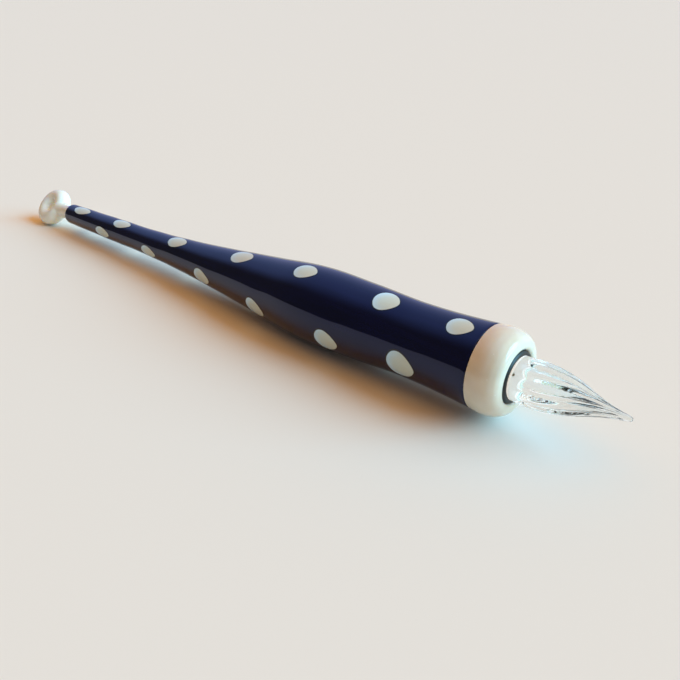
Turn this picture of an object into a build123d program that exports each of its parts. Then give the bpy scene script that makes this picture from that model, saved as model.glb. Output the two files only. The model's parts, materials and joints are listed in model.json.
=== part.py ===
from build123d import *
import os
from math import asin, cos, degrees, radians, sin, sqrt

# Glass dip pen, lying on a flat surface. It rests on the belly of its barrel
# and on its hanging loop, so its axis rises a little towards the nib.
# Row frame: +X towards the nib, +Z up, origin on the surface under the middle.
# Stations are measured along the pen's axis from the seam, the plane where the
# barrel meets the collar. Rolls are angles about that axis, from -Y towards +Z.

# Barrel, cobalt glass
barrel_length = 133.0
tail_radius = 2.75
tail_edge = 0.5
rod_length = 38.0
rod_radius = 3.3
belly_station = 38.9
belly_radius = 7.73
waist_station = 14.0
waist_drop = 0.75
seam_flare = 0.52

# Socket that takes the nib
socket_radius = 4.6
socket_depth = 22.0
socket_round = 1.5

# Collar, milk glass. Shoulder and lip are shares of its wall.
collar_length = 5.5
collar_swell = 0.18
collar_nose = 3.6
collar_shoulder_share = 0.65
collar_lip_share = 0.16

# Nib, clear glass
nib_reach = 24.0
nib_shank_gap = 0.8
nib_shank_depth = 18.0
nib_bulb_swell = 0.15
nib_bulb_station = 9.0
nib_tip_radius = 0.4
shank_chamfer = 0.6
flute_count = 10
flute_width = 1.0
flute_depth = 0.13
flute_start = 6.0
flute_twist = 36.0

# Rubber seals between nib and socket
seal_width = 1.4
seal_round = 0.45
seal_front_station = 4.85
seal_rear_station = -12.0
groove_depth = 0.4

# Hanging loop, milk glass
neck_length = 7.3
loop_radius = 3.3
loop_wire = 2.15
loop_land = 1.2
loop_roll = 45.0
neck_waist = 0.3

# Clearances
running = 0.03
groove_side = 0.05

# Dots of pale glass set into the barrel: distance behind the seam as a share
# of the barrel's length, roll from the row's own roll, length, width.
# Opposite rows match.
dot_depth = 0.5
dot_point = 0.3
row_roll = 75.0
row_a = (
    (0.034, -2.0, 4.8, 3.9),
    (0.150, 0.0, 5.1, 4.7),
    (0.299, 1.0, 5.4, 4.1),
    (0.444, 1.0, 6.2, 4.0),
    (0.619, -4.0, 6.4, 3.4),
    (0.799, -1.0, 6.8, 2.9),
    (0.944, -3.0, 7.4, 2.7),
)
row_b = (
    (0.099, 1.0, 5.8, 5.3),
    (0.227, -4.0, 5.4, 4.7),
    (0.383, -6.0, 5.5, 4.6),
    (0.527, 3.0, 5.6, 3.7),
    (0.695, 2.0, 5.8, 2.9),
    (0.853, 8.0, 6.2, 2.7),
)

os.makedirs("parts", exist_ok=True)


# ---------------------------------------------------------------- outline
# Side of the barrel: a slender rod that swells to the belly, narrows to a
# waist and flares to the seam.
rod_station = barrel_length - rod_length
waist_radius = belly_radius - waist_drop
seam_radius = waist_radius + seam_flare
swell_run = rod_station - belly_station
swell_rise = belly_radius - rod_radius
with BuildLine() as outline:
    rod_line = Line((-barrel_length, tail_radius), (-rod_station, rod_radius))
    Spline(
        (-rod_station, rod_radius),
        (-rod_station + 0.27 * swell_run, rod_radius + 0.17 * swell_rise),
        (-rod_station + 0.55 * swell_run, rod_radius + 0.46 * swell_rise),
        (-rod_station + 0.78 * swell_run, rod_radius + 0.745 * swell_rise),
        (-belly_station, belly_radius),
        (-(belly_station + waist_station) / 2, 0.67 * belly_radius + 0.33 * waist_radius),
        (-waist_station, waist_radius),
        (0, seam_radius),
        tangents=((1, (rod_radius - tail_radius) / rod_length), (1, 0.08)),
    )
side = outline.line
samples = [side @ (i / 2000) for i in range(2001)]


def side_radius(station):
    """Radius of the barrel at a distance behind the seam."""
    return min(samples, key=lambda point: abs(point.X + station)).Y


# ------------------------------------------------------------ resting pose
# The tilt brings both the belly and the loop down to the surface. Each pass
# takes the height of the axis from the belly and then the tilt from the loop.
neck_station = barrel_length + neck_length
loop_station = neck_station + loop_radius
tilt = 0.0
for _ in range(20):
    seam_height = max(p.Y * cos(tilt) - p.X * sin(tilt) for p in samples)
    loop_drop = loop_radius * sqrt(1 - (cos(radians(loop_roll)) * cos(tilt)) ** 2)
    tilt = asin((seam_height - loop_drop - loop_wire) / loop_station)

loop_edge = loop_radius * sqrt(1 - (cos(radians(loop_roll)) * sin(tilt)) ** 2)
tail_reach = loop_station * cos(tilt) + loop_edge + loop_wire
tip_reach = (nib_reach - nib_tip_radius) * cos(tilt) + nib_tip_radius
seam_x = (tail_reach - tip_reach) / 2

# Upright plane through the axis: x towards the nib, y away from the axis
pen = Plane(
    origin=(seam_x, 0, seam_height),
    x_dir=(cos(tilt), 0, sin(tilt)),
    z_dir=(0, -1, 0),
)
pen_axis = Axis(origin=pen.origin, direction=pen.x_dir)


def rolled(station, roll):
    """Plane that touches the axis at a station and faces out at a roll."""
    return Plane(pen.location * Location((station, 0, 0), (-roll, 0, 0)))


# ------------------------------------------------------------------ socket
with BuildPart() as socket:
    with BuildSketch(pen):
        with BuildLine():
            Polyline(
                (-socket_depth, 0),
                (-socket_depth, socket_radius),
                (collar_length, socket_radius),
                (collar_length, 0),
                close=True,
            )
        make_face()
        inner_corner = vertices().group_by(Axis.X)[0].sort_by(Axis.Y)[-1]
        fillet(inner_corner, radius=socket_round)
    revolve(axis=pen_axis)

# ----------------------------------------------------- barrel before inlay
with BuildPart() as blank:
    with BuildSketch(pen):
        with BuildLine():
            add(side)
            Polyline(
                (0, seam_radius),
                (0, 0),
                (-barrel_length, 0),
                (-barrel_length, tail_radius),
            )
        make_face()
        tail_corner = vertices().group_by(Axis.X)[0].sort_by(Axis.Y)[-1]
        fillet(tail_corner, radius=tail_edge)
    revolve(axis=pen_axis)

# -------------------------------------------------------------------- dots
# Each dot is a teardrop, round towards the tail, sunk flush into the barrel.
rows = (
    ("a", row_roll, row_a),
    ("b", row_roll - 90, row_b),
    ("c", row_roll - 180, row_a),
    ("d", row_roll + 90, row_b),
)
pockets = []
for row_name, roll, row in rows:
    for number, (share, roll_offset, length, width) in enumerate(row, start=1):
        station = share * barrel_length
        facing = rolled(-station, roll + roll_offset)
        floor = facing.offset(side_radius(station) - dot_depth)
        round_end = -length / 2 + width / 2
        point_radius = dot_point * width / 2
        point_end = length / 2 - point_radius
        with BuildPart() as pocket:
            with BuildSketch(floor):
                with Locations((round_end, 0)):
                    Circle(width / 2)
                with Locations((point_end, 0)):
                    Circle(point_radius)
                make_hull()
            extrude(amount=side_radius(station))
        pockets.append(pocket.part)

        with BuildPart() as dot:
            add(pocket.part)
            add(blank.part, mode=Mode.INTERSECT)
        dot.part.label = f"dot_{row_name}{number}"
        export_step(dot.part, f"parts/{dot.part.label}.step")

# ------------------------------------------------------------------ barrel
with BuildPart() as barrel:
    add(blank.part)
    add(socket.part, mode=Mode.SUBTRACT)
    for pocket_part in pockets:
        add(pocket_part, mode=Mode.SUBTRACT)
barrel.part.label = "barrel"
export_step(barrel.part, "parts/barrel.step")

# ------------------------------------------------------------------ collar
# Thick ring with a full, rounded front and a small lip round its hole.
collar_radius = seam_radius + collar_swell
collar_wall = collar_radius - socket_radius
collar_shoulder = collar_shoulder_share * collar_wall
with BuildPart() as collar:
    with BuildSketch(pen):
        with BuildLine():
            Line((0, socket_radius), (0, seam_radius))
            bulge = Spline(
                (0, seam_radius),
                (collar_length - collar_nose, collar_radius),
                tangents=((1, 0.08), (1, 0)),
            )
            EllipticalCenterArc(
                (collar_length - collar_nose, collar_radius - collar_shoulder),
                collar_nose,
                collar_shoulder,
                start_angle=0,
                arc_size=90,
            )
            Polyline(
                (collar_length, collar_radius - collar_shoulder),
                (collar_length, socket_radius),
                (0, socket_radius),
            )
        make_face()
        lip_corner = vertices().group_by(Axis.X)[-1].sort_by(Axis.Y)[0]
        fillet(lip_corner, radius=collar_lip_share * collar_wall)
    revolve(axis=pen_axis)
collar.part.label = "collar"
export_step(collar.part, "parts/collar.step")

# ------------------------------------------------------------------- seals
nib_shank_radius = socket_radius - nib_shank_gap
groove_radius = nib_shank_radius - groove_depth
seal_inner = groove_radius + running
seal_outer = socket_radius - running
seal_edge = min(seal_round, 0.45 * (seal_outer - seal_inner))
for name, station in (("seal_front", seal_front_station), ("seal_rear", seal_rear_station)):
    with BuildPart() as seal:
        with BuildSketch(pen):
            with Locations((station, (seal_inner + seal_outer) / 2)):
                RectangleRounded(seal_width, seal_outer - seal_inner, seal_edge)
        revolve(axis=pen_axis)
    seal.part.label = name
    export_step(seal.part, f"parts/{name}.step")

# --------------------------------------------------------------------- nib
# Shank with two seal grooves, then a bulb that tapers to a rounded point.
nib_bulb_radius = nib_shank_radius + nib_bulb_swell
groove_half = seal_width / 2 + groove_side
shoulder = seal_front_station + groove_half
taper = nib_reach - nib_bulb_station
with BuildLine() as nib_outline:
    Spline(
        (shoulder, nib_shank_radius),
        (nib_bulb_station, nib_bulb_radius),
        (nib_bulb_station + 0.2 * taper, 0.94 * nib_bulb_radius),
        (nib_bulb_station + 0.4 * taper, 0.76 * nib_bulb_radius),
        (nib_bulb_station + 0.6 * taper, 0.47 * nib_bulb_radius),
        (nib_bulb_station + 0.8 * taper, 0.23 * nib_bulb_radius),
        (nib_reach - nib_tip_radius, nib_tip_radius),
        tangents=((1, 0.1), (1, -0.1)),
    )
nib_side = nib_outline.line
nib_samples = [nib_side @ (i / 500) for i in range(501)]

# Cutter of one flute: a round section that shrinks with the nib, touches it
# at both ends and turns a little about the axis on its way to the point.
flute_run = nib_reach - flute_start
with BuildPart() as flute:
    for share, bite in ((0, 0), (0.12, 1), (0.3, 1), (0.5, 1), (0.7, 1), (0.86, 1), (0.95, 0)):
        station = flute_start + share * flute_run
        radius = min(nib_samples, key=lambda point: abs(point.X - station)).Y
        cut_radius = flute_width / nib_bulb_radius * radius
        cut_depth = flute_depth * radius * bite
        facing = rolled(station, flute_twist * share**2).offset(radius + cut_radius - cut_depth)
        with BuildSketch(Plane(origin=facing.origin, x_dir=facing.z_dir, z_dir=pen.x_dir)):
            Circle(cut_radius)
    loft()

with BuildPart() as nib:
    with BuildSketch(pen):
        with BuildLine():
            add(nib_side)
            RadiusArc(
                (nib_reach - nib_tip_radius, nib_tip_radius),
                (nib_reach, 0),
                nib_tip_radius,
            )
            Polyline(
                (nib_reach, 0),
                (-nib_shank_depth, 0),
                (-nib_shank_depth, nib_shank_radius),
                (seal_rear_station - groove_half, nib_shank_radius),
                (seal_rear_station - groove_half, groove_radius),
                (seal_rear_station + groove_half, groove_radius),
                (seal_rear_station + groove_half, nib_shank_radius),
                (seal_front_station - groove_half, nib_shank_radius),
                (seal_front_station - groove_half, groove_radius),
                (shoulder, groove_radius),
                (shoulder, nib_shank_radius),
            )
        make_face()
        back_corner = vertices().group_by(Axis.X)[0].sort_by(Axis.Y)[-1]
        chamfer(back_corner, length=shank_chamfer)
    revolve(axis=pen_axis)
    for number in range(flute_count):
        add(flute.part.rotate(pen_axis, number * 360 / flute_count), mode=Mode.SUBTRACT)
nib.part.label = "nib"
export_step(nib.part, "parts/nib.step")

# ------------------------------------------------------------ hanging loop
# Ring whose plane holds the pen's axis, on a short waisted neck that is fused
# to the flat of the barrel's tail. The hole has a narrow straight land.
neck_radius = tail_radius - tail_edge
ring = rolled(-loop_station, 90 - loop_roll)
ring_axis = Axis(origin=ring.origin, direction=ring.z_dir)
hole_radius = loop_radius - sqrt(loop_wire**2 - (loop_land / 2) ** 2)
with BuildPart() as hanging_loop:
    with BuildSketch(Plane(origin=ring.origin, x_dir=ring.x_dir, z_dir=-ring.y_dir)):
        with Locations((loop_radius, 0)):
            Circle(loop_wire)
        with Locations((hole_radius, 0)):
            Rectangle(hole_radius * 2, loop_wire * 2, align=(Align.MAX, Align.CENTER), mode=Mode.SUBTRACT)
    revolve(axis=ring_axis)
    with BuildSketch(pen):
        with BuildLine():
            ThreePointArc(
                (-barrel_length, neck_radius),
                (-barrel_length - neck_length / 2, neck_radius - neck_waist),
                (-neck_station, neck_radius),
            )
            Polyline(
                (-neck_station, neck_radius),
                (-neck_station, 0),
                (-barrel_length, 0),
                (-barrel_length, neck_radius),
            )
        make_face()
    revolve(axis=pen_axis)
hanging_loop.part.label = "hanging_loop"
export_step(hanging_loop.part, "parts/hanging_loop.step")

print(f"tilt {degrees(tilt):.4f} deg, seam at {seam_x:.4f}, {seam_height:.4f}")
print(f"loop hole radius {hole_radius:.4f}, centre {ring.origin}, axis {ring.z_dir}")
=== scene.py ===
import json
from math import atan2, cos, hypot, pi, radians, remainder, sin

import bpy
from mathutils import Matrix, Vector


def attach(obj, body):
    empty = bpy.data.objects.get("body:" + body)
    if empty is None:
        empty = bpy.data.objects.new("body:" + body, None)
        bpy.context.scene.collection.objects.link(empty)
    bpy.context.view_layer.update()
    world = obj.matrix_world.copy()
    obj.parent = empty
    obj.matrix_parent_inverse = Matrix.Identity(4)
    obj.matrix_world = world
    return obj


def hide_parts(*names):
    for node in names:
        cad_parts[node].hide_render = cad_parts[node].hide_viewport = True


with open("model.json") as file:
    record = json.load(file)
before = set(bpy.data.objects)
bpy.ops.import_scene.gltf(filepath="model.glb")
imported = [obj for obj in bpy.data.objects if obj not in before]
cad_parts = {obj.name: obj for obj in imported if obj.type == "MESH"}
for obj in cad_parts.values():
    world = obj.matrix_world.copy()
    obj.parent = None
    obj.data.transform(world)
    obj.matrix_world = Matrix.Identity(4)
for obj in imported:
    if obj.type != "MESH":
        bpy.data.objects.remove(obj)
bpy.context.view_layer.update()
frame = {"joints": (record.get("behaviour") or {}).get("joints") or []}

# ------------------------------------------------------------------ camera
# A close three-quarter view from above and beyond the nib, down the length of
# the pen.
CAMERA_PLACE = (0.10901, -0.08894, 0.06862)
CAMERA_UPTURN = 60.7096  # from looking straight down
CAMERA_HEADING = 41.7578
CAMERA_LENS = 36.53
CAMERA_NEAR = 0.005

bpy.ops.object.camera_add(
    location=CAMERA_PLACE, rotation=(radians(CAMERA_UPTURN), 0, radians(CAMERA_HEADING))
)
camera = bpy.context.object
camera.data.lens = CAMERA_LENS
camera.data.clip_start = CAMERA_NEAR
bpy.context.scene.camera = camera
bpy.context.scene.view_settings.view_transform = "Standard"


# ------------------------------------------------------------------- light
# One broad cool window light high beyond the nib, in a room that is warm
# overhead and on the far side, pale beyond the nib and dim on the near side.
# Polished glass mirrors a wide blue sky instead, and a white one shows through
# clear glass.
def linear(code):
    """An sRGB hex colour as the linear values that shaders and lamps take."""
    shares = [int(code[i : i + 2], 16) / 255 for i in (0, 2, 4)]
    return [s / 12.92 if s <= 0.04045 else ((s + 0.055) / 1.055) ** 2.4 for s in shares]


def add_node(tree, kind, inputs, **settings):
    """A new node with its settings. Each input gets a socket, a hex colour or a value."""
    node = tree.nodes.new("ShaderNode" + kind)
    for name, setting in settings.items():
        setattr(node, name, setting)
    for name, source in inputs.items():
        if isinstance(source, bpy.types.NodeSocket):
            tree.links.new(source, node.inputs[name])
        elif isinstance(source, str):
            node.inputs[name].default_value = linear(source) + [1]
        else:
            node.inputs[name].default_value = source
    return node


KEY_FROM = (0.78, 0.40, 0.48)
KEY_ANGLE = 42.0
KEY_STRENGTH = 5.2
KEY_COLOUR = "87D9FF"

bpy.ops.object.light_add(
    type="SUN", rotation=Vector(KEY_FROM).to_track_quat("Z", "Y").to_euler()
)
key = bpy.context.object
key.name = "window"
key.data.angle = radians(KEY_ANGLE)
key.data.energy = KEY_STRENGTH
key.data.color = linear(KEY_COLOUR)

BACKDROP_COLOUR = "E9E8E3"
# What lights a matt surface
ROOM_DARK = "42424C"
ROOM_FILL = "FFB04E"
ROOM_FRONT = "FFF2E0"
# What polished glass mirrors
ROOM_SHADE = "5C5A58"
ROOM_SKY = "A2BFFF"
ROOM_GLOW = "B2BEF4"
# What shows through clear glass, over the same dark near side
ROOM_BRIGHT = "FFFFFF"
# Where they fade in, in degrees up from the near horizon and over the top
SKY_FADE = (48, 95)
GLOW_FADE = (120, 178)
FILL_FADE = (34, 84)
# and towards the nib's end, where the way's X share is 1
BACKDROP_FADE = (-0.1, 0.3)
FRONT_FADE = (0.5, 0.85)
MIX_A, MIX_B, MIX_OUT = 6, 7, 2  # the colour sockets of a Mix node

world = bpy.context.scene.world or bpy.data.worlds.new("room")
bpy.context.scene.world = world
world.use_nodes = True
tree = world.node_tree
tree.nodes.clear()
path = add_node(tree, "LightPath", {})
whole = add_node(tree, "TexCoord", {})
way = add_node(tree, "SeparateXYZ", {0: whole.outputs["Generated"]})
forward = add_node(tree, "Math", {0: way.outputs["Y"], 1: -1.0}, operation="MULTIPLY")
# Angle up from the near horizon, over the top and down to the far horizon
lift = add_node(
    tree, "Math", {0: way.outputs["Z"], 1: forward.outputs[0]}, operation="ARCTAN2"
)
sky_share, glow_share, fill_share, backdrop_share, front_share = [
    add_node(
        tree,
        "MapRange",
        {"Value": value, "From Min": start * unit, "From Max": end * unit},
        interpolation_type="SMOOTHSTEP",
    ).outputs["Result"]
    for value, (start, end), unit in (
        (lift.outputs[0], SKY_FADE, radians(1)),
        (lift.outputs[0], GLOW_FADE, radians(1)),
        (lift.outputs[0], FILL_FADE, radians(1)),
        (way.outputs["X"], BACKDROP_FADE, 1),
        (way.outputs["X"], FRONT_FADE, 1),
    )
]
far_sky = add_node(
    tree, "Mix", {0: glow_share, MIX_A: ROOM_SKY, MIX_B: ROOM_GLOW}, data_type="RGBA"
)
sky = add_node(
    tree,
    "Mix",
    {0: backdrop_share, MIX_A: far_sky.outputs[MIX_OUT], MIX_B: BACKDROP_COLOUR},
    data_type="RGBA",
)
mirrored = add_node(
    tree,
    "Mix",
    {0: sky_share, MIX_A: ROOM_SHADE, MIX_B: sky.outputs[MIX_OUT]},
    data_type="RGBA",
)
fill = add_node(
    tree, "Mix", {0: fill_share, MIX_A: ROOM_DARK, MIX_B: ROOM_FILL}, data_type="RGBA"
)
fill = add_node(
    tree,
    "Mix",
    {0: front_share, MIX_A: fill.outputs[MIX_OUT], MIX_B: ROOM_FRONT},
    data_type="RGBA",
)
room = add_node(
    tree,
    "Mix",
    {
        0: path.outputs["Is Glossy Ray"],
        MIX_A: fill.outputs[MIX_OUT],
        MIX_B: mirrored.outputs[MIX_OUT],
    },
    data_type="RGBA",
)
bent = add_node(
    tree, "Mix", {0: sky_share, MIX_A: ROOM_DARK, MIX_B: ROOM_BRIGHT}, data_type="RGBA"
)
room = add_node(
    tree,
    "Mix",
    {
        0: path.outputs["Is Transmission Ray"],
        MIX_A: room.outputs[MIX_OUT],
        MIX_B: bent.outputs[MIX_OUT],
    },
    data_type="RGBA",
)
room = add_node(
    tree,
    "Mix",
    {
        0: path.outputs["Is Camera Ray"],
        MIX_A: room.outputs[MIX_OUT],
        MIX_B: BACKDROP_COLOUR,
    },
    data_type="RGBA",
)
background = add_node(tree, "Background", {"Color": room.outputs[MIX_OUT]})
add_node(tree, "OutputWorld", {"Surface": background.outputs[0]})

# ------------------------------------------------------------------- floor
# A plain sheet of matt off-white board that the pen lies on. It is large
# enough to fill the view.
FLOOR_SIZE = 12.0
FLOOR_COLOUR = "E6E5DF"
FLOOR_ROUGHNESS = 0.9
FLOOR_IOR = 1.3

bpy.ops.object.select_all(action="DESELECT")
bpy.ops.mesh.primitive_plane_add(size=FLOOR_SIZE)
floor = bpy.context.object
floor.name = "floor"


def add_material(name, colour, roughness, ior):
    """A material with the plain values of its shader set, its tree and its shader."""
    material = bpy.data.materials.new(name)
    material.use_nodes = True
    shader = material.node_tree.nodes["Principled BSDF"]
    shader.inputs["Base Color"].default_value = linear(colour) + [1]
    shader.inputs["Roughness"].default_value = roughness
    shader.inputs["IOR"].default_value = ior
    return material, material.node_tree, shader


board = add_material("matt_board", FLOOR_COLOUR, FLOOR_ROUGHNESS, FLOOR_IOR)[0]
floor.data.materials.append(board)

# ------------------------------------------------------------------ barrel
# The handle is a solid rod of cobalt glass, drawn out thin towards the tail
# and left with a fire-polished skin. Its nib end has a plain bored socket.
MM = 0.001
MERGE = 0.002  # points nearer than this become one
CURVE_STEPS = 12  # from one point of an outline to the next
SMOOTH_ANGLE = 40.0
BARREL_LENGTH = 133.0
TAIL_RADIUS = 2.75
TAIL_EDGE = 0.5
ROD_STATION = 95.0
ROD_RADIUS = 3.3
BELLY_STATION = 38.9
BELLY_RADIUS = 7.73
WAIST_STATION = 14.0
WAIST_RADIUS = 6.98
SEAM_RADIUS = 7.5
SOCKET_RADIUS = 4.6
SOCKET_DEPTH = 22.0
# From the rod to the belly: share of the way, share of the swell
SWELL = ((0.27, 0.17), (0.55, 0.46), (0.78, 0.745))
swell = [
    (
        -ROD_STATION + way * (ROD_STATION - BELLY_STATION),
        ROD_RADIUS + rise * (BELLY_RADIUS - ROD_RADIUS),
        "AUTO",
    )
    for way, rise in SWELL
]
# Station along the pen's axis from the seam, radius, kind of curve handle
barrel_outline = (
    (-BARREL_LENGTH, 0.0, "VECTOR"),
    (-BARREL_LENGTH, TAIL_RADIUS, "VECTOR"),
    (-(BARREL_LENGTH + ROD_STATION) / 2, (TAIL_RADIUS + ROD_RADIUS) / 2, "AUTO"),
    (-ROD_STATION, ROD_RADIUS, "AUTO"),
    *swell,
    (-BELLY_STATION, BELLY_RADIUS, "AUTO"),
    (
        -(BELLY_STATION + WAIST_STATION) / 2,
        0.67 * BELLY_RADIUS + 0.33 * WAIST_RADIUS,
        "AUTO",
    ),
    (-WAIST_STATION, WAIST_RADIUS, "AUTO"),
    (0.0, SEAM_RADIUS, "VECTOR"),
    (0.0, SOCKET_RADIUS, "VECTOR"),
    (-SOCKET_DEPTH, SOCKET_RADIUS, "VECTOR"),
    (-SOCKET_DEPTH, 0.0, "VECTOR"),
)

# The pen's own frame: x along its axis from the seam, y across, z up
nib_twist = next(joint for joint in frame["joints"] if joint["name"] == "nib_twist")
pen_x = Vector(nib_twist["axis"]).normalized()
pen_y = Vector((0, 1, 0))
pen_frame = Matrix.Translation(nib_twist["pos_m"]) @ Matrix(
    (pen_x, pen_y, pen_x.cross(pen_y))
).transposed().to_4x4()


def choose(piece):
    """Selects only this piece and makes it the active one."""
    bpy.ops.object.select_all(action="DESELECT")
    piece.select_set(True)
    bpy.context.view_layer.objects.active = piece


def start_edit(piece):
    """Opens only this piece in edit mode, with all of it selected."""
    choose(piece)
    bpy.ops.object.mode_set(mode="EDIT")
    bpy.ops.mesh.select_all(action="SELECT")


def turn_body(name, outline, steps, closed=False):
    """A body turned from its outline about the pen's axis, in the pen's own frame."""
    bpy.ops.object.select_all(action="DESELECT")
    bpy.ops.curve.primitive_bezier_curve_add()
    body = bpy.context.object
    body.name = name
    body.data.resolution_u = CURVE_STEPS
    line = body.data.splines[0]
    line.use_cyclic_u = closed
    line.bezier_points.add(len(outline) - 2)
    for point, (station, radius, kind) in zip(line.bezier_points, outline):
        point.co = (station * MM, 0, radius * MM)
        point.handle_left_type = kind
        point.handle_right_type = kind
    bpy.ops.object.convert(target="MESH")
    start_edit(body)
    bpy.ops.mesh.remove_doubles(threshold=MERGE * MM)
    bpy.ops.mesh.spin(steps=steps, angle=2 * pi, center=(0, 0, 0), axis=(1, 0, 0))
    bpy.ops.mesh.select_all(action="SELECT")
    bpy.ops.mesh.remove_doubles(threshold=MERGE * MM)
    bpy.ops.mesh.normals_make_consistent(inside=False)
    bpy.ops.object.mode_set(mode="OBJECT")
    return body


def add_modifier(piece, kind, **settings):
    """Adds a modifier with its settings and applies it."""
    choose(piece)
    bpy.ops.object.modifier_add(type=kind)
    modifier = piece.modifiers[-1]
    for name, setting in settings.items():
        setattr(modifier, name, setting)
    bpy.ops.object.modifier_apply(modifier=modifier.name)


def finish_piece(piece, material, body, node):
    """Settles a piece's place in its mesh, gives it its material and hands it over."""
    choose(piece)
    bpy.ops.object.transform_apply(location=True, rotation=True, scale=True)
    bpy.ops.object.shade_smooth_by_angle(angle=radians(SMOOTH_ANGLE))
    piece.data.materials.clear()
    piece.data.materials.append(material)
    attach(piece, body)
    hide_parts(node)


# Rows of dots: name, roll from -Y towards +Z, which of the two sets of dots
ROWS = (
    ("a", 75.0, 0),
    ("b", -15.0, 1),
    ("c", -105.0, 0),
    ("d", 165.0, 1),
)
# Distance behind the seam as a share of the barrel, turn from the row, length, width
ROW_DOTS = (
    (
        (0.034, -2.0, 4.8, 3.9),
        (0.150, 0.0, 5.1, 4.7),
        (0.299, 1.0, 5.4, 4.1),
        (0.444, 1.0, 6.2, 4.0),
        (0.619, -4.0, 6.4, 3.4),
        (0.799, -1.0, 6.8, 2.9),
        (0.944, -3.0, 7.4, 2.7),
    ),
    (
        (0.099, 1.0, 5.8, 5.3),
        (0.227, -4.0, 5.4, 4.7),
        (0.383, -6.0, 5.5, 4.6),
        (0.527, 3.0, 5.6, 3.7),
        (0.695, 2.0, 5.8, 2.9),
        (0.853, 8.0, 6.2, 2.7),
    ),
)

dot_places = [
    (share * BARREL_LENGTH, radians(roll + turn))
    for _, roll, kind in ROWS
    for share, turn, _, _ in ROW_DOTS[kind]
]

barrel = turn_body("cobalt_barrel", barrel_outline, steps=160)
add_modifier(
    barrel,
    "BEVEL",
    width=TAIL_EDGE * MM,
    segments=4,
    limit_method="ANGLE",
    angle_limit=radians(50),
)

# The skin sinks a little between the dots, as they hold it up while it is hot.
# It starts to sink this far from a dot's middle, and fades out at both ends.
HOLLOW_DEPTH = 0.06
HOLLOW_START = 1.5
HOLLOW_RUN = 4.0
SEAM_FLAT = 4.0
TAIL_FLAT = 2.0
hollows = barrel.vertex_groups.new(name="hollows")
for vertex in barrel.data.vertices:
    x, y, z = vertex.co / MM
    if hypot(y, z) > SOCKET_RADIUS or x < -SOCKET_DEPTH:
        nearest = min(
            hypot(x + station, hypot(y, z) * remainder(atan2(z, -y) - roll, 2 * pi))
            for station, roll in dot_places
        )
        hollow = min(1, max(0, (nearest - HOLLOW_START) / HOLLOW_RUN))
        ends = min(1, -x / SEAM_FLAT) * min(1, (BARREL_LENGTH + x) / TAIL_FLAT)
        hollows.add([vertex.index], hollow * ends, "REPLACE")
add_modifier(
    barrel,
    "DISPLACE",
    vertex_group="hollows",
    direction="NORMAL",
    strength=-HOLLOW_DEPTH * MM,
    mid_level=0.0,
)
barrel.matrix_world = pen_frame

# Cobalt glass, lampworked and fire-polished: so deep a blue that it reads as
# near black, with faint bluer streaks along the draw, under a mirror-smooth skin.
COBALT_COLOUR = "060716"
COBALT_STREAK = "0E1138"
COBALT_TINT = "C8CEFF"
COBALT_ROUGHNESS = 0.03
STREAK_WIDTH = 1.1
STREAK_STRETCH = 12.0
GLASS_IOR = 1.5
cobalt, tree, shader = add_material(
    "fire_polished_cobalt_glass", COBALT_STREAK, COBALT_ROUGHNESS, GLASS_IOR
)
shader.inputs["Specular Tint"].default_value = linear(COBALT_TINT) + [1]
where = add_node(tree, "TexCoord", {})
along = add_node(
    tree,
    "Mapping",
    {"Vector": where.outputs["Object"], "Scale": (1 / STREAK_STRETCH, 1, 1)},
)
streaks = add_node(
    tree,
    "TexNoise",
    {"Vector": along.outputs[0], "Scale": 1 / (STREAK_WIDTH * MM), "Detail": 3.0},
)
blue = add_node(
    tree,
    "Mix",
    {0: streaks.outputs["Fac"], MIX_A: COBALT_COLOUR, MIX_B: COBALT_STREAK},
    data_type="RGBA",
)
tree.links.new(blue.outputs[MIX_OUT], shader.inputs["Base Color"])
finish_piece(barrel, cobalt, "handle", "barrel")

# -------------------------------------------------------------------- dots
# Teardrops of pale glass laid on the hot barrel in four rows and marvered in
# flush. A thin film of blue has flowed over the edge of each.
DOT_STANDS = 0.02
# One teardrop is shaped and then copied. Its true outline, one unit long and
# wide, is the ring of size DROP_OUTLINE, and the film lies outside that. Each
# ring further in stands higher, and the height tells the material how far it is
# from the edge. The end at +X is drawn in to DROP_POINT of its width, less and
# less over DROP_TAPER back from it, and then the whole is widened again.
DROP_RINGS = (1.0, 0.97, 0.94, 0.91, 0.88, 0.84, 0.76, 0.64, 0.5, 0.35, 0.2)
DROP_OUTLINE = 0.91
DROP_POINT = 0.6
DROP_TAPER = 0.9
DROP_WIDEN = 1.14

bpy.ops.object.select_all(action="DESELECT")
bpy.ops.mesh.primitive_circle_add(
    vertices=64, radius=0.5 / DROP_OUTLINE, fill_type="NGON"
)
drop = bpy.context.object
start_edit(drop)
bpy.ops.mesh.select_all(action="DESELECT")
bpy.ops.object.mode_set(mode="OBJECT")
for vertex in drop.data.vertices:
    vertex.select = vertex.co.x > 0.5
bpy.ops.object.mode_set(mode="EDIT")
bpy.ops.transform.resize(
    value=(1, DROP_POINT, 1),
    center_override=(0, 0, 0),
    use_proportional_edit=True,
    proportional_edit_falloff="LINEAR",
    proportional_size=DROP_TAPER,
)
bpy.ops.mesh.select_all(action="SELECT")
bpy.ops.transform.resize(value=(1, DROP_WIDEN, 1), center_override=(0, 0, 0))
for outer, inner in zip(DROP_RINGS, DROP_RINGS[1:]):
    bpy.ops.mesh.extrude_region_move(
        TRANSFORM_OT_translate={"value": (0, 0, outer - inner)}
    )
    bpy.ops.transform.resize(
        value=(inner / outer, inner / outer, 1), center_override=(0, 0, 0)
    )
bpy.ops.mesh.poke()
bpy.ops.object.mode_set(mode="OBJECT")

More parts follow.
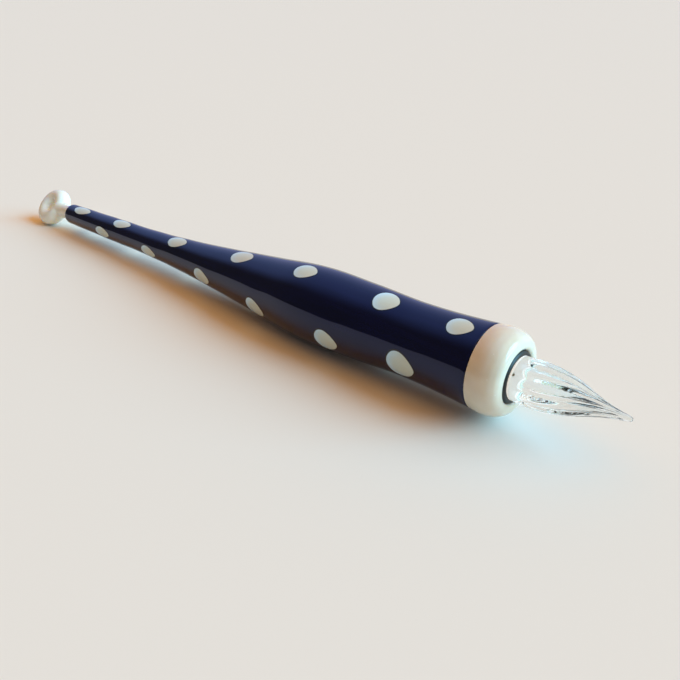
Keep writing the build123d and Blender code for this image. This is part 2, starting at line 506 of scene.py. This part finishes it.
dots = []
for row_name, roll, kind in ROWS:
    for number, (share, turn, length, width) in enumerate(ROW_DOTS[kind], start=1):
        dot = drop.copy()
        dot.data = drop.data.copy()
        dot.name = f"inlaid_dot_{row_name}{number}"
        bpy.context.collection.objects.link(dot)
        station = -share * BARREL_LENGTH * MM
        upright = Matrix.Rotation(radians(90 - roll - turn), 4, "X")
        size = Matrix.Diagonal((length * MM, width * MM, 1 * MM, 1))
        above = Matrix.Translation((0, 0, 2 * SEAM_RADIUS * MM))
        edge = dot.data.attributes.new("edge", "FLOAT", "POINT")
        tail = dot.data.attributes.new("tail", "FLOAT", "POINT")
        for vertex in dot.data.vertices:
            edge.data[vertex.index].value = 1 - vertex.co.z
            tail.data[vertex.index].value = 0.5 - vertex.co.x
        dot.matrix_world = (
            pen_frame @ Matrix.Translation((station, 0, 0)) @ upright @ above @ size
        )
        choose(dot)
        bpy.ops.object.transform_apply(location=False, rotation=False, scale=True)
        add_modifier(
            dot,
            "SHRINKWRAP",
            target=barrel,
            wrap_method="PROJECT",
            use_project_z=True,
            use_positive_direction=False,
            use_negative_direction=True,
            offset=DOT_STANDS * MM,
        )
        dots.append((dot, f"dot_{row_name}{number}"))
bpy.data.objects.remove(drop)

# Pale opal glass, marvered and fire-polished: ivory with a touch of green, its
# edge darker where the cobalt glass has flowed over it. Towards the round tail
# end each dot turns mint and its rim bluish white: a painted highlight.
OPAL_COLOUR = "CADFDB"
OPAL_WARM = "CAD7C9"
OPAL_PAINTED_HIGHLIGHT = "C8ECFF"
OPAL_CLOUD = "D3DACB"
OPAL_ROUGHNESS = 0.05
CLOUD_SIZE = 1.2
# Where each layer fades in: by ring size, which grows towards the edge, or by
# share of the length back from the point
FILM_FADE = (0.89, 0.93)
RIM_FADE = (0.35, 0.9)
PAINTED_HIGHLIGHT_FADE = (0.2, 0.9)
opal, tree, shader = add_material(
    "marvered_opal_glass", OPAL_COLOUR, OPAL_ROUGHNESS, GLASS_IOR
)
edge_value = add_node(tree, "Attribute", {}, attribute_name="edge").outputs["Fac"]
tail_value = add_node(tree, "Attribute", {}, attribute_name="tail").outputs["Fac"]
film, painted_highlight_end, rim = [
    add_node(
        tree,
        "MapRange",
        {"Value": value, "From Min": start, "From Max": end},
        interpolation_type="SMOOTHSTEP",
    ).outputs["Result"]
    for value, (start, end) in (
        (edge_value, FILM_FADE),
        (tail_value, PAINTED_HIGHLIGHT_FADE),
        (edge_value, RIM_FADE),
    )
]
# Painted highlight: mint over the tail end of each dot, bluish white at its rim there.
painted_highlight_rim = add_node(tree, "Math", {0: rim, 1: painted_highlight_end}, operation="MULTIPLY")
where = add_node(tree, "TexCoord", {})
clouds = add_node(
    tree,
    "TexNoise",
    {"Vector": where.outputs["Object"], "Scale": 1 / (CLOUD_SIZE * MM), "Detail": 2.0},
)
colour = OPAL_CLOUD
for share, layer in (
    (clouds.outputs["Fac"], OPAL_WARM),
    (painted_highlight_end, OPAL_COLOUR),
    (painted_highlight_rim.outputs[0], OPAL_PAINTED_HIGHLIGHT),
    (film, COBALT_COLOUR),
):
    mix = add_node(tree, "Mix", {0: share, MIX_A: colour, MIX_B: layer}, data_type="RGBA")
    colour = mix.outputs[MIX_OUT]
tree.links.new(colour, shader.inputs["Base Color"])
for dot, node in dots:
    finish_piece(dot, opal, "handle", node)

# ------------------------------------------------------------------ collar
# A thick ring of milk glass fused to the end of the barrel, with a full
# rounded front and a small melted lip round the socket.
COLLAR_LENGTH = 5.5
COLLAR_RADIUS = 7.68
COLLAR_NOSE = 3.6
COLLAR_SHOULDER = 2.002
COLLAR_LIP = 0.5
collar_front = [
    (
        COLLAR_LENGTH - COLLAR_NOSE * (1 - sin(radians(turn))),
        COLLAR_RADIUS - COLLAR_SHOULDER * (1 - cos(radians(turn))),
        "AUTO",
    )
    for turn in (0, 22.5, 45, 67.5, 90)
]
collar_outline = (
    (0.0, SOCKET_RADIUS, "VECTOR"),
    (0.0, SEAM_RADIUS, "VECTOR"),
    *collar_front,
    (COLLAR_LENGTH - 0.1 * COLLAR_LIP, SOCKET_RADIUS + 0.7 * COLLAR_LIP, "AUTO"),
    (COLLAR_LENGTH - COLLAR_LIP, SOCKET_RADIUS, "AUTO"),
)
collar = turn_body("milk_glass_collar", collar_outline, steps=128, closed=True)
collar.matrix_world = pen_frame

# Milk glass, fire-polished: light sinks a little way into it, so its edges are
# soft under a clear gloss. It is faintly clouded and holds a few fine bubbles.
MILK_COLOUR = "DAD1BC"
MILK_CLOUD = "E6E0D0"
MILK_BUBBLE = "F7F9F4"
MILK_ROUGHNESS = 0.08
MILK_SINK = 0.4
MILK_SINK_SHARES = (1.0, 0.9, 0.7)  # of that depth, for red, green and blue light
MILK_CLOUD_SIZE = 2.5
BUBBLE_SPACING = 1.3
BUBBLE_RADIUS = 0.07
milk, tree, shader = add_material(
    "fire_polished_milk_glass", MILK_COLOUR, MILK_ROUGHNESS, GLASS_IOR
)
shader.inputs["Subsurface Weight"].default_value = 1.0
shader.inputs["Subsurface Scale"].default_value = MILK_SINK * MM
shader.inputs["Subsurface Radius"].default_value = MILK_SINK_SHARES
where = add_node(tree, "TexCoord", {})
clouds = add_node(
    tree,
    "TexNoise",
    {
        "Vector": where.outputs["Object"],
        "Scale": 1 / (MILK_CLOUD_SIZE * MM),
        "Detail": 2.0,
    },
)
cells = add_node(
    tree,
    "TexVoronoi",
    {"Vector": where.outputs["Object"], "Scale": 1 / (BUBBLE_SPACING * MM)},
)
bubbles = add_node(
    tree,
    "Math",
    {0: cells.outputs["Distance"], 1: BUBBLE_RADIUS / BUBBLE_SPACING},
    operation="LESS_THAN",
)
clouded = add_node(
    tree,
    "Mix",
    {0: clouds.outputs["Fac"], MIX_A: MILK_COLOUR, MIX_B: MILK_CLOUD},
    data_type="RGBA",
    name="clouded",
)
bubbled = add_node(
    tree,
    "Mix",
    {0: bubbles.outputs[0], MIX_A: clouded.outputs[MIX_OUT], MIX_B: MILK_BUBBLE},
    data_type="RGBA",
)
tree.links.new(bubbled.outputs[MIX_OUT], shader.inputs["Base Color"])
finish_piece(collar, milk, "handle", "collar")

# ------------------------------------------------------------ hanging loop
# A ring of the same milk glass pulled round at the tail and fused to it by a
# short waisted neck.
LOOP_RADIUS = 3.3
LOOP_WIRE = 2.15
LOOP_ROLL = 45.0
LOOP_VOXEL = 0.14
NECK_LENGTH = 7.3
NECK_RADIUS = 2.25
NECK_WAIST = 0.3
LOOP_STATION = BARREL_LENGTH + NECK_LENGTH + LOOP_RADIUS
neck_outline = (
    (-BARREL_LENGTH - NECK_LENGTH, 0.0, "VECTOR"),
    (-BARREL_LENGTH - NECK_LENGTH, NECK_RADIUS, "VECTOR"),
    (-BARREL_LENGTH - NECK_LENGTH / 2, NECK_RADIUS - NECK_WAIST, "AUTO"),
    (-BARREL_LENGTH, NECK_RADIUS, "VECTOR"),
    (-BARREL_LENGTH, 0.0, "VECTOR"),
)
neck = turn_body("milk_glass_loop", neck_outline, steps=64)
neck.matrix_world = pen_frame
bpy.ops.object.select_all(action="DESELECT")
bpy.ops.mesh.primitive_torus_add(
    major_radius=LOOP_RADIUS * MM,
    minor_radius=LOOP_WIRE * MM,
    major_segments=96,
    minor_segments=48,
)
loop = bpy.context.object
loop.matrix_world = (
    pen_frame
    @ Matrix.Translation((-LOOP_STATION * MM, 0, 0))
    @ Matrix.Rotation(radians(LOOP_ROLL), 4, "X")
)
neck.select_set(True)
bpy.context.view_layer.objects.active = neck
bpy.ops.object.join()
loop = bpy.context.object
bpy.ops.object.transform_apply(location=True, rotation=True, scale=True)
add_modifier(loop, "REMESH", mode="VOXEL", voxel_size=LOOP_VOXEL * MM)
add_modifier(loop, "SMOOTH", factor=0.5, iterations=4)

# The same milk glass, pulled thin in the flame, which leaves it whiter.
PULLED_COLOUR = "E6EADD"
PULLED_CLOUD = "F4F8F0"
pulled = milk.copy()
pulled.name = "flame_pulled_milk_glass"
clouded = pulled.node_tree.nodes["clouded"]
clouded.inputs[MIX_A].default_value = linear(PULLED_COLOUR) + [1]
clouded.inputs[MIX_B].default_value = linear(PULLED_CLOUD) + [1]
finish_piece(loop, pulled, "handle", "hanging_loop")

# ------------------------------------------------------------------- seals
# Two black rubber rings, moulded, that hold the nib in its socket. They sit
# in grooves round the nib's shank.
SEAL_STATIONS = {"seal_front": 4.85, "seal_rear": -12.0}
SEAL_INNER = 3.43
SEAL_OUTER = 4.57
SEAL_MIDDLE = (SEAL_INNER + SEAL_OUTER) / 2
SEAL_HALF = 0.7
SEAL_FLAT = 0.5
SEAL_ROUND = 0.12

# Nitrile rubber, moulded: near black with a soft sheen and a fine matt grain,
# drawn a little coarser than it is so that it shows.
RUBBER_COLOUR = "0F1614"
RUBBER_ROUGHNESS = 0.45
RUBBER_GRAIN = 0.15
RUBBER_GRAIN_DEPTH = 0.03
RUBBER_GRAIN_STRENGTH = 0.25
rubber, tree, shader = add_material(
    "moulded_nitrile", RUBBER_COLOUR, RUBBER_ROUGHNESS, GLASS_IOR
)
where = add_node(tree, "TexCoord", {})
grain = add_node(
    tree,
    "TexNoise",
    {"Vector": where.outputs["Object"], "Scale": 1 / (RUBBER_GRAIN * MM), "Detail": 2.0},
)
bump = add_node(
    tree,
    "Bump",
    {
        "Height": grain.outputs["Fac"],
        "Strength": RUBBER_GRAIN_STRENGTH,
        "Distance": RUBBER_GRAIN_DEPTH * MM,
    },
)
tree.links.new(bump.outputs[0], shader.inputs["Normal"])

for name, station in SEAL_STATIONS.items():
    seal = turn_body(
        f"rubber_{name}",
        (
            (station, SEAL_OUTER, "AUTO"),
            (station + SEAL_FLAT, SEAL_OUTER - SEAL_ROUND, "AUTO"),
            (station + SEAL_HALF, SEAL_MIDDLE, "AUTO"),
            (station + SEAL_FLAT, SEAL_INNER + SEAL_ROUND, "AUTO"),
            (station, SEAL_INNER, "AUTO"),
            (station - SEAL_FLAT, SEAL_INNER + SEAL_ROUND, "AUTO"),
            (station - SEAL_HALF, SEAL_MIDDLE, "AUTO"),
            (station - SEAL_FLAT, SEAL_OUTER - SEAL_ROUND, "AUTO"),
        ),
        steps=96,
        closed=True,
    )
    seal.matrix_world = pen_frame
    finish_piece(seal, rubber, "seals", name)

# --------------------------------------------------------------------- nib
# Clear glass, drawn from a fluted rod to a point. Its smooth shank carries the
# seals, and its flutes run out to the tip and hold the ink.
NIB_REACH = 24.0
SHANK_DEPTH = 18.0
SHANK_RADIUS = 3.8
SHANK_CHAMFER = 0.6
GROOVE_RADIUS = 3.4
GROOVE_HALF = 0.75
BULB_STATION = 9.0
BULB_RADIUS = 3.95
TIP_RADIUS = 0.4
# From the bulb to the tip: share of the way, share of the bulb's radius
TAPER = ((0.2, 0.94), (0.4, 0.76), (0.6, 0.47), (0.8, 0.23))
FLUTES = 10
FLUTE_START = 6.0
FLUTE_TWIST = 36.0
FLUTE_DEPTH = 0.5
# A flute deepens over the first share of its run, fades over the second and
# is gone at the third.
FLUTE_RISE, FLUTE_FADE, FLUTE_END = 0.12, 0.1, 0.97
GROUND_START = 1.0
GROUND_END = 5.9
grooves = [
    (SEAL_STATIONS[name] + side * GROOVE_HALF, radius, "VECTOR")
    for name in ("seal_rear", "seal_front")
    for side, radius in (
        (-1, SHANK_RADIUS),
        (-1, GROOVE_RADIUS),
        (1, GROOVE_RADIUS),
        (1, SHANK_RADIUS),
    )
]
taper = [
    (BULB_STATION + way * (NIB_REACH - BULB_STATION), share * BULB_RADIUS, "AUTO")
    for way, share in TAPER
]
nib_outline = (
    (-SHANK_DEPTH, 0.0, "VECTOR"),
    (-SHANK_DEPTH, SHANK_RADIUS - SHANK_CHAMFER, "VECTOR"),
    (-SHANK_DEPTH + SHANK_CHAMFER, SHANK_RADIUS, "VECTOR"),
    *grooves,
    (7.3, 3.92, "AUTO"),
    (BULB_STATION, BULB_RADIUS, "AUTO"),
    *taper,
    (NIB_REACH - TIP_RADIUS, TIP_RADIUS, "AUTO"),
    (NIB_REACH - 0.3 * TIP_RADIUS, 0.7 * TIP_RADIUS, "AUTO"),
    (NIB_REACH, 0.0, "VECTOR"),
)
nib = turn_body("clear_nib", nib_outline, steps=FLUTES * 24)
flutes = nib.vertex_groups.new(name="flutes")
for vertex in nib.data.vertices:
    x, y, z = vertex.co / MM
    share = (x - FLUTE_START) / (NIB_REACH - FLUTE_START)
    if 0 < share < FLUTE_END:
        angle = atan2(z, y) + radians(FLUTE_TWIST) * share**2
        valley = 1 - abs(sin(FLUTES * angle / 2))
        fade = min(1, share / FLUTE_RISE) * min(1, (FLUTE_END - share) / FLUTE_FADE)
        depth = min(1, hypot(y, z) / BULB_RADIUS)
        flutes.add([vertex.index], valley * fade * depth, "REPLACE")
add_modifier(
    nib,
    "DISPLACE",
    vertex_group="flutes",
    direction="NORMAL",
    strength=-FLUTE_DEPTH * MM,
    mid_level=0.0,
)
nib.matrix_world = pen_frame
ground_faces = [
    face.index
    for face in nib.data.polygons
    if GROUND_START * MM < face.center.x < GROUND_END * MM
]

# Clear glass, drawn and fire-polished: it bends and mirrors what is round it.
# The draw leaves faint ripples along it.
CLEAR_COLOUR = "F8FBFA"
CLEAR_ROUGHNESS = 0.0
RIPPLE_WIDTH = 0.7
RIPPLE_STRETCH = 10.0
RIPPLE_DEPTH = 0.03
RIPPLE_STRENGTH = 0.1
clear, tree, shader = add_material(
    "fire_polished_clear_glass", CLEAR_COLOUR, CLEAR_ROUGHNESS, GLASS_IOR
)
shader.inputs["Transmission Weight"].default_value = 1.0
where = add_node(tree, "TexCoord", {})
along = add_node(
    tree,
    "Mapping",
    {"Vector": where.outputs["Object"], "Scale": (1 / RIPPLE_STRETCH, 1, 1)},
)
ripples = add_node(
    tree,
    "TexNoise",
    {"Vector": along.outputs[0], "Scale": 1 / (RIPPLE_WIDTH * MM), "Detail": 1.0},
)
bump = add_node(
    tree,
    "Bump",
    {
        "Height": ripples.outputs["Fac"],
        "Strength": RIPPLE_STRENGTH,
        "Distance": RIPPLE_DEPTH * MM,
    },
)
tree.links.new(bump.outputs[0], shader.inputs["Normal"])
finish_piece(nib, clear, "nib", "nib")

# The front of the shank is the same glass ground with fine grit, so it
# scatters the light that comes down the nib; a painted glow keeps it white. The
# grit's marks are drawn coarser than they are, so that they show.
GROUND_COLOUR = "FFFFFF"
GROUND_MARK = "F2F5F4"
GROUND_ROUGHNESS = 0.5
GRIT_SIZE = 0.2
# The colour and strength of the painted glow that the ground skin gives off
PAINTED_GLOW_COLOUR = "FFF6E8"
PAINTED_GLOW_STRENGTH = 0.42
ground, tree, shader = add_material(
    "ground_glass", GROUND_COLOUR, GROUND_ROUGHNESS, GLASS_IOR
)
where = add_node(tree, "TexCoord", {})
grit = add_node(
    tree,
    "TexNoise",
    {"Vector": where.outputs["Object"], "Scale": 1 / (GRIT_SIZE * MM), "Detail": 2.0},
)
frost = add_node(
    tree,
    "Mix",
    {0: grit.outputs["Fac"], MIX_A: GROUND_COLOUR, MIX_B: GROUND_MARK},
    data_type="RGBA",
)
tree.links.new(frost.outputs[MIX_OUT], shader.inputs["Base Color"])
# Painted glow: the ground skin emits light of its own, in place of daylight piped down
# the clear glass.
shader.inputs["Emission Color"].default_value = linear(PAINTED_GLOW_COLOUR) + [1]
shader.inputs["Emission Strength"].default_value = PAINTED_GLOW_STRENGTH
nib.data.materials.append(ground)
for index in ground_faces:
    nib.data.polygons[index].material_index = 1
